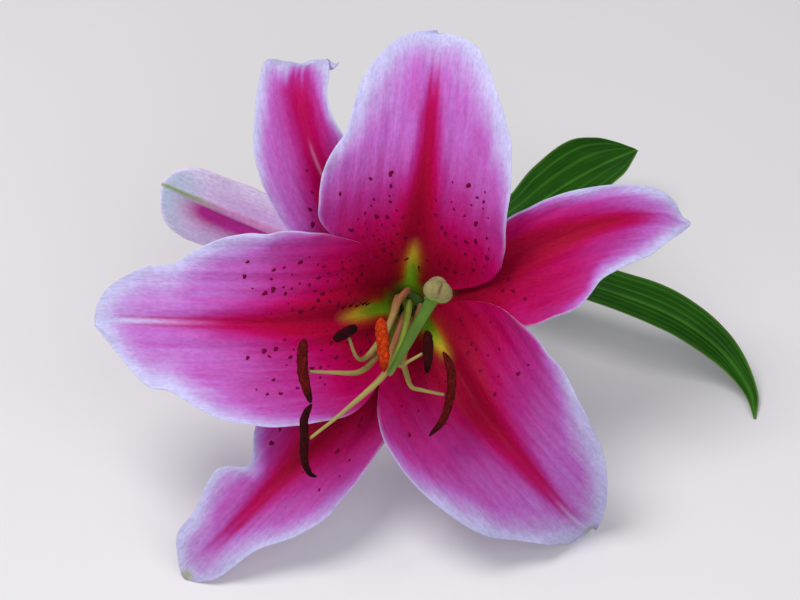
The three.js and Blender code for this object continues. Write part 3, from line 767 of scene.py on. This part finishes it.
add_tepal(
    "sepal_upper_left", 150, SEPAL_RING, bearing=(140, 118, 90),
    # line here paints a highlight along the edge of a fold beside the midrib.
    # shade here is a painted shade for the light this sepal lies in.
    look=dict(flush=(0.2, 0.6), band_tip=5.5, band_strength=0.5, flank=0.0, white_from=0.5, margin=5,
              crest=0.79, line=0.6, line_t=(0.4, 0.46), line_end=0.6, shade=0.82),
    midrib=[(-7.5, 10, 10), (-14.5, 20, 22), (-26.5, 40, 33), (-32, 59, 34), (-32.5, 70, 28),
            (-31, 72.5, 21), (-27.5, 71.5, 14), (-22.5, 73.5, 9)],
    left=[(0, 0.14), (0.12, 0.22), (0.3, 0.43), (0.45, 0.52), (0.57, 0.5), (0.65, 0.43), (0.72, 0.36),
          (0.8, 0.32), (0.88, 0.25), (0.94, 0.18), (1, 0.06)],
    right=[(0, 0.14), (0.12, 0.24), (0.25, 0.36), (0.4, 0.42), (0.5, 0.37), (0.65, 0.26), (0.78, 0.27),
           (0.88, 0.2), (0.95, 0.14), (1, 0.06)],
    spots=dict(count=20, t=(0.26, 0.52), u=(0.12, 0.75), left_share=0.7),
)

# ---- the receptacle and the pistil ----
STYLE_GREEN = colour("#205802")
STYLE_PALE = colour("#7f9a3a")
OVARY_GREEN = colour("#96a840")
CREAM = colour("#867c4c")
CLEFT = colour("#7c5a4c")


def add_tube(name, node, place, route, radius_at, paint, material, sides=24, steps=24, section=None):
    points, faces, t, angle, flow = tube(route, radius_at, sides, steps, section)
    add_mesh(name, place(points), faces, paint(t, angle), flow, material, node)


def add_knob(node, place, radius, squash):
    """The swollen end of a stalk, round the origin of its own frame, with six soft ribs."""
    tip = np.array((0, 0, radius * squash))
    add_tube(
        f"{node}_knob", node, place, [-tip, np.zeros(3), tip],
        lambda t: radius * np.sqrt(np.clip(1 - (1.94 * t - 0.97) ** 2, 0, 1)),
        lambda t, angle: blend(OVARY_GREEN, STYLE_GREEN, 0.4 + 0.5 * t),
        STEM, section=lambda t, angle: 1 - 0.04 * np.cos(6 * angle),
    )


add_knob("receptacle", from_bloom, RECEPTACLE_RADIUS + 1, 0.5)

OVARY_FOOT = 2.8
OVARY_TOP = 21.8
OVARY_PROFILE = [(0, 0.7), (0.15, 0.95), (0.6, 1), (0.9, 0.85), (0.97, 0.6), (1, 0.3)]
add_tube(
    "ovary_body", "ovary", from_bloom,
    [(0, 0, OVARY_FOOT), (0, 0, (OVARY_FOOT + OVARY_TOP) / 2), (0, 0, OVARY_TOP)],
    lambda t: profile_at(OVARY_PROFILE, t) * OVARY_DIAMETER / 2,
    lambda t, angle: blend(OVARY_GREEN, STYLE_GREEN, t),
    PISTIL, steps=40, section=lambda t, angle: 1 - 0.12 * np.abs(np.cos(3 * angle)) ** 6,
)

STYLE_ROUTE = [
    (0, 0, OVARY_TOP - CLEARANCE), (0, -0.6, 25), (-0.5, -4.5, 35), (-2, -11, 48), (-5, -18, 58),
    (-5.5, -20, 62), (-1.5, -13, 72), (2.8, -5, 79.5), (6.3, 1, 83.5),
]
STYLE_PROFILE = [(0, 0.8), (0.4, 0.55), (0.62, 0.5), (0.75, 0.85), (0.9, 1.0), (1, 1.15)]
STYLE_END = unit(np.subtract(STYLE_ROUTE[-1], STYLE_ROUTE[-2]))
STIGMA_FOOT = STYLE_ROUTE[-1] + STYLE_END * 1.6


def paint_style(t, angle):
    """Pale where it leaves the throat, deep green above its bend, and a painted highlight down one side."""
    # The cosine term paints a highlight down the side of the style that faces the light.
    return blend(STYLE_PALE, STYLE_GREEN, rise(0.4, 0.75, t) * (0.8 + 0.2 * np.cos(angle + 1)))


add_tube(
    "style_stalk", "style", from_bloom, [*STYLE_ROUTE, STIGMA_FOOT],
    lambda t: profile_at(STYLE_PROFILE, t) * STYLE_DIAMETER / 2,
    paint_style, PISTIL, steps=140, section=lambda t, angle: 1 - 0.07 * np.cos(3 * angle),
)


def add_stigma():
    """Three swollen lobes parted by a Y-shaped cleft, on an axis that continues the style."""
    axis = STYLE_END
    side = unit(np.cross(axis, (0, 1, 0)))
    other = np.cross(axis, side)
    centre = STYLE_ROUTE[-1] + axis * (0.39 * STIGMA_DIAMETER + 2 * CLEARANCE)
    rows, columns = 60, 96
    pole = 0.01
    down = np.linspace(pole, np.pi - pole, rows)
    polar, angle = np.meshgrid(down, 2 * np.pi * np.arange(columns) / columns, indexing="ij")
    lobes = 1 + 0.1 * np.cos(3 * angle) * np.sin(polar)
    cleft = bell(1 + np.cos(3 * angle), 0.22) * fall(0.9, 1.7, polar)
    hub = bell(polar, 0.22)
    grain = 0.02 * noise(angle * 12, polar * 14, 61)
    radius = STIGMA_DIAMETER / 2 * (lobes - 0.16 * np.maximum(cleft, hub) + grain)
    height = np.cos(polar) * radius * 0.78
    flat = np.sin(polar) * radius
    points = around(centre[None], side[None], other[None], flat * np.cos(angle), flat * np.sin(angle))
    points += axis * height[..., None]
    faces = grid_faces(rows, columns, closed=True)[:, ::-1].tolist()
    faces += [list(range(columns)), [(rows - 1) * columns + j for j in range(columns)][::-1]]
    paint = blend(CREAM, CLEFT, 0.75 * np.maximum(cleft, hub))
    paint = blend(paint, STYLE_PALE, rise(1.5, 2.6, polar)).reshape(-1, 3)
    points = points.reshape(-1, 3)
    add_mesh("stigma_lobes", from_bloom(points), faces, paint, points, PISTIL, "stigma")


add_stigma()

# ---- the six stamens ----
FILAMENT_GREEN = colour("#9c9250")
FILAMENT_PINK = colour("#a4684c")
ANTHER_SHADES = {
    "maroon": (colour("#3c060a"), colour("#140102")),
    "orange": (colour("#c8400e"), colour("#861804")),
    "red": (colour("#66100e"), colour("#260305")),
}
STAMEN_RING = (OVARY_DIAMETER + FILAMENT_DIAMETER) / 2 + CLEARANCE
STAMEN_LEVEL = 3.1
FILAMENT_PROFILE = [(0, 1), (0.6, 0.95), (0.9, 0.5), (1, 0.4)]
ANTHER_PROFILE = [
    (0, 0.12), (0.03, 0.45), (0.12, 0.85), (0.3, 1), (0.7, 0.92), (0.9, 0.6), (0.97, 0.35), (1, 0.12),
]


def paint_filament(t, angle):
    """Green in the throat, pinkish where it leaves it, and pale green towards the anther."""
    lower = blend(OVARY_GREEN, FILAMENT_PINK, rise(0.08, 0.3, t))
    return blend(lower, FILAMENT_GREEN, rise(0.35, 0.8, t))


def add_filament(number, start, route, anther):
    """A stalk from the ring round the ovary to just short of the middle of its anther."""
    middle = Curve(anther).at(0.5)
    approach = unit(middle - route[-1])
    end = middle - approach * (ANTHER_DIAMETER / 2 + CLEARANCE)
    angle = math.radians(start)
    foot = (STAMEN_RING * math.cos(angle), STAMEN_RING * math.sin(angle), STAMEN_LEVEL)
    add_tube(
        f"filament_{number}_stalk", f"filament_{number}", from_bloom, [foot, *route, end],
        lambda t: profile_at(FILAMENT_PROFILE, t) * FILAMENT_DIAMETER / 2,
        paint_filament, PISTIL, sides=16, steps=90,
    )


def add_anther(number, shade, plump, route):
    """A pollen sac with a seam along it, lumpy, and darkest in the seam and at its second tip."""
    seed = 300 + number
    light, dark = ANTHER_SHADES[shade]

    def section(t, angle):
        seam = 0.3 * bell(np.cos(angle / 2), 0.16) + 0.14 * bell(np.sin(angle / 2), 0.14)
        lumps = 0.1 * noise(angle * 3, t * 16, seed) + 0.07 * noise(angle * 8, t * 44, seed + 1)
        return 1 - seam + lumps

    def paint(t, angle):
        dust = 0.5 + 0.5 * noise(angle * 5, t * 26, seed + 2)
        share = 0.15 + 0.6 * dust + 0.4 * bell(np.cos(angle / 2), 0.25) + 0.6 * rise(0.75, 1, t)
        return blend(light, dark, np.clip(share, 0, 1))

    add_tube(
        f"anther_{number}_pollen", f"anther_{number}", from_bloom, route,
        lambda t: profile_at(ANTHER_PROFILE, t) * plump * ANTHER_DIAMETER / 2,
        paint, POLLEN,
        sides=40, steps=110, section=section,
    )


def add_stamen(number, shade, start, plump, filament, anther):
    """start is the bearing of the filament's foot, and plump the anther's share of its full width."""
    add_filament(number, start, filament, anther)
    add_anther(number, shade, plump, anther)


add_stamen(
    1, "red", 200, 0.9,
    filament=[(-3.9, -2.6, 20), (-6.5, -9, 31), (-9.5, -15.5, 38), (-14.5, -20, 48), (-21, -20, 54)],
    anther=[(-30, -10, 58), (-30.5, -13.5, 59), (-30.5, -18.5, 60), (-29.5, -23.5, 61.5),
            (-28, -28.5, 63)],
)
add_stamen(
    2, "maroon", 250, 0.75,
    filament=[(-1.6, -4, 20), (-3.5, -10, 32), (-5.5, -15.5, 42), (-7, -20.5, 50), (-18.5, -31, 54)],
    anther=[(-28, -29, 56), (-30, -33, 57), (-30, -39, 58), (-30, -45, 58), (-28.5, -49, 57),
            (-26.5, -50, 56)],
)
add_stamen(
    3, "orange", 95, 1.0,
    filament=[(-0.5, 3.6, 20), (-2.8, 1, 32), (-4, -2, 41), (-6, -7.5, 53), (-7, -10, 61)],
    anther=[(-8, -4, 68), (-7.5, -10, 69), (-7, -16, 69), (-7, -19.5, 69)],
)
add_stamen(
    4, "maroon", 150, 0.95,
    filament=[(-3.6, 0.8, 20), (-5.5, -5.8, 30), (-9.5, -12.5, 39), (-13.1, -16.2, 44.5),
              (-15.2, -15.4, 50)],
    anther=[(-21.5, -10.5, 47), (-18.8, -8.8, 53), (-17, -7.8, 59), (-15, -6.8, 65)],
)
add_stamen(
    5, "maroon", 340, 0.85,
    filament=[(3.6, -1.6, 18), (0.8, -8.5, 30), (-2, -15.5, 43), (-2.5, -18.2, 48), (0.5, -16.5, 52)],
    anther=[(5.3, -8, 48), (5.6, -11, 51.5), (5.6, -16, 57), (5.3, -20, 60)],
)
add_stamen(
    6, "red", 295, 0.75,
    filament=[(1.8, -5.2, 18), (-0.5, -11.5, 29), (-1.5, -17, 37), (-0.7, -20.5, 41), (1, -24.5, 45),
              (4, -25.3, 47.5)],
    anther=[(10, -14, 50), (12, -18, 51), (12.5, -23.5, 52), (11.5, -29.5, 52), (9.5, -34.5, 52),
            (6, -38.5, 51)],
)

# ---- the stem, with both stalks ----
STEM_GREEN = colour("#5f8a3a")
STEM_PALE = colour("#93ad62")
CUT_PALE = colour("#cfd6a2")
STALK_RATIO = PEDICEL_DIAMETER / STEM_DIAMETER
STEM_PROFILE = [
    (0, 1.3), (0.012, 1.15), (0.035, 0.75), (0.06, STALK_RATIO), (0.22, STALK_RATIO), (0.36, 1), (1, 1),
]
stem_radius = STEM_DIAMETER / 2
axis_out = BLOOM_TURN @ (0, 0, 1)
stalk_top = BLOOM_CENTRE - SURFACE_CENTRE - axis_out * 1.2
STEM_ROUTE = [
    stalk_top, stalk_top - axis_out * 16,
    (1, FORK_Y - 15, stem_radius + 5.5), (1.5, FORK_Y - 6, stem_radius + 1),
    (STEM_X, FORK_Y + 4, stem_radius), (STEM_X + 1, FORK_Y + 0.35 * STEM_LENGTH, stem_radius),
    (STEM_X - 1, FORK_Y + 0.7 * STEM_LENGTH, stem_radius), (STEM_X, FORK_Y + STEM_LENGTH, stem_radius),
]
# Rings inside the rim of the cut: share of the radius, depth in mm and colour.
CUT_RINGS = [(0.86, 0.0, STEM_PALE), (0.8, 0.25, CUT_PALE), (0.4, PITH_DIP, CUT_PALE)]


def paint_stem(t, angle):
    return blend(STEM_PALE, STEM_GREEN, rise(0.0, 0.35, t))


def add_stem():
    """The main stem, slanted where it was cut, with a shallow cup of pale pith in the cut."""
    sides, steps = 40, 220
    points, faces, t, angle, flow = tube(
        STEM_ROUTE, lambda t: profile_at(STEM_PROFILE, t) * stem_radius, sides, steps,
        lambda t, a: 1 + 0.018 * np.cos(7 * a) + 0.02 * noise(a * 2, t * 18, 7),
    )
    rim = points[-sides:]
    centre = rim.mean(axis=0)
    rim[:, 1] += (rim[:, 2] - centre[2]) * math.tan(math.radians(STEM_CUT_ANGLE))
    inner = [centre + (rim - centre) * share - (0, dip, 0) for share, dip, _ in CUT_RINGS]
    inner_tint = [np.broadcast_to(shade, (sides, 3)) for _, _, shade in CUT_RINGS]
    faces.pop()
    last = steps * sides
    faces += (last + grid_faces(len(CUT_RINGS) + 1, sides, closed=True)).tolist()
    pith = last + len(CUT_RINGS) * sides
    hub = pith + sides
    faces += [[pith + j, pith + (j + 1) % sides, hub] for j in range(sides)]
    add_mesh(
        "stem_body", from_surface(np.concatenate([points, *inner, [centre - (0, PITH_DIP, 0)]])),
        faces, np.concatenate([paint_stem(t, angle), *inner_tint, [CUT_PALE]]),
        np.concatenate([flow, np.zeros((len(CUT_RINGS) * sides + 1, 3))]), STEM, "stem",
    )


add_stem()

# ---- the second bloom, half open ----
BUD_AT = np.array((-19.0, 44.0, 18.0))
BUD_AXIS = unit((-67, 66, 19) - BUD_AT)
FLARE = (-77.5, 37.5, 56) - BUD_AT
BUD_SIDE = unit(np.cross(FLARE, BUD_AXIS))
BUD_UP = np.cross(BUD_AXIS, BUD_SIDE)
BUD_BASIS = np.stack([BUD_SIDE, BUD_UP, BUD_AXIS])
BUD_SEPAL_WIDTH = 23
BUD_PETAL_WIDTH = 14
BUD_RECEPTACLE_RADIUS = 4.6
BUD_STALK_RADIUS = 2.3


def from_bud(points):
    return from_surface(np.asarray(points, float) @ BUD_BASIS + BUD_AT)


bud_stalk = [
    (STEM_X, FORK_Y + 2, stem_radius), (STEM_X - 7, FORK_Y - 3, stem_radius + 3),
    BUD_AT - BUD_AXIS * 8, BUD_AT - BUD_AXIS * 3.3,
]
add_tube(
    "bud_stalk", None, from_surface, bud_stalk, lambda t: BUD_STALK_RADIUS + 0.5 * bell(1 - t, 0.12),
    lambda t, angle: paint_stem(0 * t, angle), STEM, sides=28, steps=70,
)
add_knob("bud_receptacle", from_bud, BUD_RECEPTACLE_RADIUS, 0.72)

OUTLINE_FOOT = [(0, 0.14), (0.15, 0.3), (0.45, 0.5)]
TAPERED = [*OUTLINE_FOOT, (0.7, 0.42), (0.9, 0.17), (1, 0.03)]
BROAD = [*OUTLINE_FOOT, (0.7, 0.56), (0.86, 0.52), (0.95, 0.34), (1, 0.04)]
ROUNDED = [*OUTLINE_FOOT, (0.7, 0.46), (0.86, 0.4), (0.95, 0.25), (1, 0.04)]
# Midribs of the bud's tepals, as (distance from its axis, height along it).
FLARED_SEPAL = [(4.6, 0), (8, 10), (13.5, 20), (22.5, 31), (36.5, 42.5), (47.5, 51)]
CLOSED_SEPAL = [(4.6, 0), (7.5, 12), (10.2, 28), (9, 44), (3.4, 56)]
FOLDED_PETAL = [(3.7, 4), (4.8, 14), (6.8, 28), (5.6, 40), (2.6, 50)]


def paint_flared(blade, seed):
    """The outside of the flared sepal: pale, with a magenta painted shadow on one side of a raised rib
    and blue-grey painted shade at the tip.
    """
    t, across = blade.t, blade.across
    wander = noise(across / 4 + 9, t * 6, seed)
    streaks = noise(across * 1.2 + 9, t * 7, seed + 1)
    paint = blend(OUTSIDE_WHITE, LAVENDER, 0.15 + 0.2 * wander + 0.1 * streaks)
    blush = fall(0.45, 0.85, t)
    paint = blend(paint, LILAC, 0.45 * blush * rise(1, 4, blade.inward) * bell(across, 9))
    # Painted shadow: magenta on the side of the raised rib that is turned from the light.
    shadow = rise(0, 1.2, -across) * bell(across + 2.5, 4.5)
    # Painted shade: blue-grey towards the tip.
    paint = blend(paint, TIP_SHADE_BLUE, 0.8 * rise(0.7, 0.98, t + 0.04 * wander))
    paint = blend(paint, MAGENTA, np.clip(1.2 * shadow * fall(0.7, 0.95, t), 0, 1))
    paint = blend(paint, OUTSIDE_WHITE, 0.8 * fall(0.2, 1.4, blade.inward + 0.4 * wander))
    rib = blend(PALE_LINE, OUTSIDE_GREEN, rise(0.62, 0.85, t))
    return blend(paint, rib, 0.9 * bell(across, 0.6))


def add_bud_tepal(number, kind, bearing, profile, width, wrap, left=TAPERED, right=TAPERED):
    angle, seed = math.radians(bearing), 500 + 10 * number
    name = f"bud_{kind}_{number}"

    def relief(blade):
        rib = -0.8 * bell(blade.across, 1.1) * np.sin(np.pi * blade.t)
        waves = 0.35 * noise(blade.t * 8, np.sign(blade.u) * 2 + 4, seed)
        return rib + waves * rise(0.5, 1, np.abs(blade.u))

    blade = Blade(
        midrib=[(r * math.cos(angle), r * math.sin(angle), h) for r, h in profile],
        bearing=(bearing, bearing), width=width, left=left, right=right, wrap=wrap,
        relief=relief, ragged=0.01, seed=seed,
    )
    inside = paint_inside(blade, SEPAL_LOOK, seed)
    outside = paint_flared(blade, seed) if name == "bud_sepal_1" else paint_outside(blade, seed + 5)
    add_blade(name, blade, from_bud, inside, outside, PETAL, rib=1.6)


add_bud_tepal(1, "sepal", 90, FLARED_SEPAL, BUD_SEPAL_WIDTH, (50, 34, 12), left=ROUNDED, right=BROAD)
for number, bearing in ((2, 210), (3, 330)):
    add_bud_tepal(number, "sepal", bearing, CLOSED_SEPAL, 0.78 * BUD_SEPAL_WIDTH, (44, 44))
for number, bearing in ((1, 30), (2, 150), (3, 270)):
    add_bud_tepal(number, "petal", bearing, FOLDED_PETAL, BUD_PETAL_WIDTH, (38, 38))

# ---- the leaves ----
LEAF_DARK = colour("#0c3a00")
LEAF_LIGHT = colour("#265c04")
LEAF_VEIN = colour("#4c8a2c")
LEAF_EDGE = colour("#6f8f44")
SLENDER = [(0, 0.16), (0.12, 0.24), (0.35, 0.46), (0.6, 0.5), (0.8, 0.36), (0.93, 0.15), (1, 0.02)]
BULGING = [
    (0, 0.16), (0.2, 0.2), (0.4, 0.28), (0.6, 0.44), (0.78, 0.52), (0.9, 0.4), (0.96, 0.22), (1, 0.02),
]
LEAF_FOOT_X = STEM_X + stem_radius - 1.5  # inside the stem, so that leaf and stem join
LEAF_RIDGES = 60


def add_leaf(name, attach_y, midrib, bearing, width, left, veins, seed):
    """A leaf with a sunk midrib and, on each side of it, veins at their shares of its half width."""

    def vein_pattern(blade):
        strong = sum(bell(np.abs(blade.u) - place, 0.022) for place in veins)
        return np.clip(strong + 1.2 * bell(blade.across, 0.55), 0, 1)

    def relief(blade):
        channel = -0.9 * bell(blade.across, 1.4) * np.sin(np.pi * np.clip(blade.t * 1.05, 0, 1))
        fine = 0.06 * np.cos(blade.u * LEAF_RIDGES)
        waves = 0.5 * noise(blade.t * 6, np.sign(blade.u) * 2 + 4, seed)
        waves *= rise(0.4, 1, np.abs(blade.u))
        return channel + fine - 0.25 * vein_pattern(blade) + waves

    blade = Blade(
        midrib=[(LEAF_FOOT_X, attach_y, stem_radius), *midrib], bearing=bearing, width=width,
        left=left, right=SLENDER, wrap=(30, 14), relief=relief, ragged=0.008, seed=seed,
    )
    wander = noise(blade.across / 3 + 9, blade.t * 9, seed)
    paint = blend(LEAF_DARK, LEAF_LIGHT, 0.25 + 0.2 * wander)
    paint = blend(paint, LEAF_LIGHT, 0.15 + 0.15 * np.cos(blade.u * LEAF_RIDGES))
    paint = blend(paint, LEAF_VEIN, 0.5 * vein_pattern(blade))
    paint = blend(paint, LEAF_EDGE, 0.7 * fall(0.15, 0.7, blade.inward))
    under = blend(LEAF_LIGHT, LEAF_EDGE, 0.3 + 0.2 * wander)
    add_blade(name, blade, from_surface, paint, under, LEAF, edge=0.45, rib=1.4)


add_leaf(
    "leaf_upper", 63, [(23, 60, 15), (37, 63, 22), (50, 72, 26), (64, 82.5, 27), (77, 94, 24)],
    (0, 38), 28, BULGING, (0.38, 0.72), 601,
)
add_leaf(
    "leaf_right", 51,
    [(30, 41, 17), (48.5, 30, 24), (67, 21, 25), (86, 15.5, 19), (100, 8, 11), (108, -2, 3.5),
     (109, -11, 0.6)],
    (-25, -25, -60), 17, SLENDER, (0.3, 0.55, 0.78), 602,
)


# ---- the stage ----
CAMERA_AT = (-2.5, 1, 900)
CAMERA_LENS = 131.6


def add_floor():
    """A plain floor 12 m across, in metres, under the lily."""
    size, height = 6.0, cad_low.z
    mesh = bpy.data.meshes.new("floor")
    corners = [(-size, -size, height), (size, -size, height), (size, size, height), (-size, size, height)]
    mesh.from_pydata(corners, [], [(0, 1, 2, 3)])
    mesh.materials.append(floor_material())
    floor = add_object("floor", mesh)


def add_light(name, place, target, size, power, tone):
    """A round soft light at place, turned towards target, both in the bloom frame. size is in metres."""
    data = bpy.data.lights.new(name, "AREA")
    data.shape = "DISK"
    data.size = size
    data.energy = power
    data.color = tone
    light = add_object(name, data)
    light.location = Vector(from_bloom(place) * MM)
    towards = Vector(from_bloom(target) * MM) - light.location
    light.rotation_mode = "QUATERNION"
    light.rotation_quaternion = towards.to_track_quat("-Z", "Y")


def add_camera():
    """Looks straight into the bloom's mouth, from the photograph's viewing angle."""
    data = bpy.data.cameras.new("camera")
    data.sensor_width = 36
    data.lens = CAMERA_LENS
    data.clip_start, data.clip_end = 0.05, 30
    camera = add_object("camera", data)
    camera.location = Vector(from_bloom(CAMERA_AT) * MM)
    camera.rotation_euler = (TILT, 0, 0)
    bpy.context.scene.camera = camera


def add_world():
    world = bpy.data.worlds.new("studio")
    world.use_nodes = True
    sky = world.node_tree.nodes["Background"]
    sky.inputs["Color"].default_value = (0.93, 0.95, 1.0, 1)
    sky.inputs["Strength"].default_value = 0.42
    bpy.context.scene.world = world


add_floor()
add_light("key", (-350, 620, 700), (0, 0, 20), 0.55, 5.9, (1.0, 0.98, 0.97))
add_light("fill", (260, -40, 800), (0, 0, 20), 0.8, 2.2, (0.94, 0.95, 1.0))
add_camera()
add_world()
bpy.context.scene.view_settings.view_transform = "Standard"
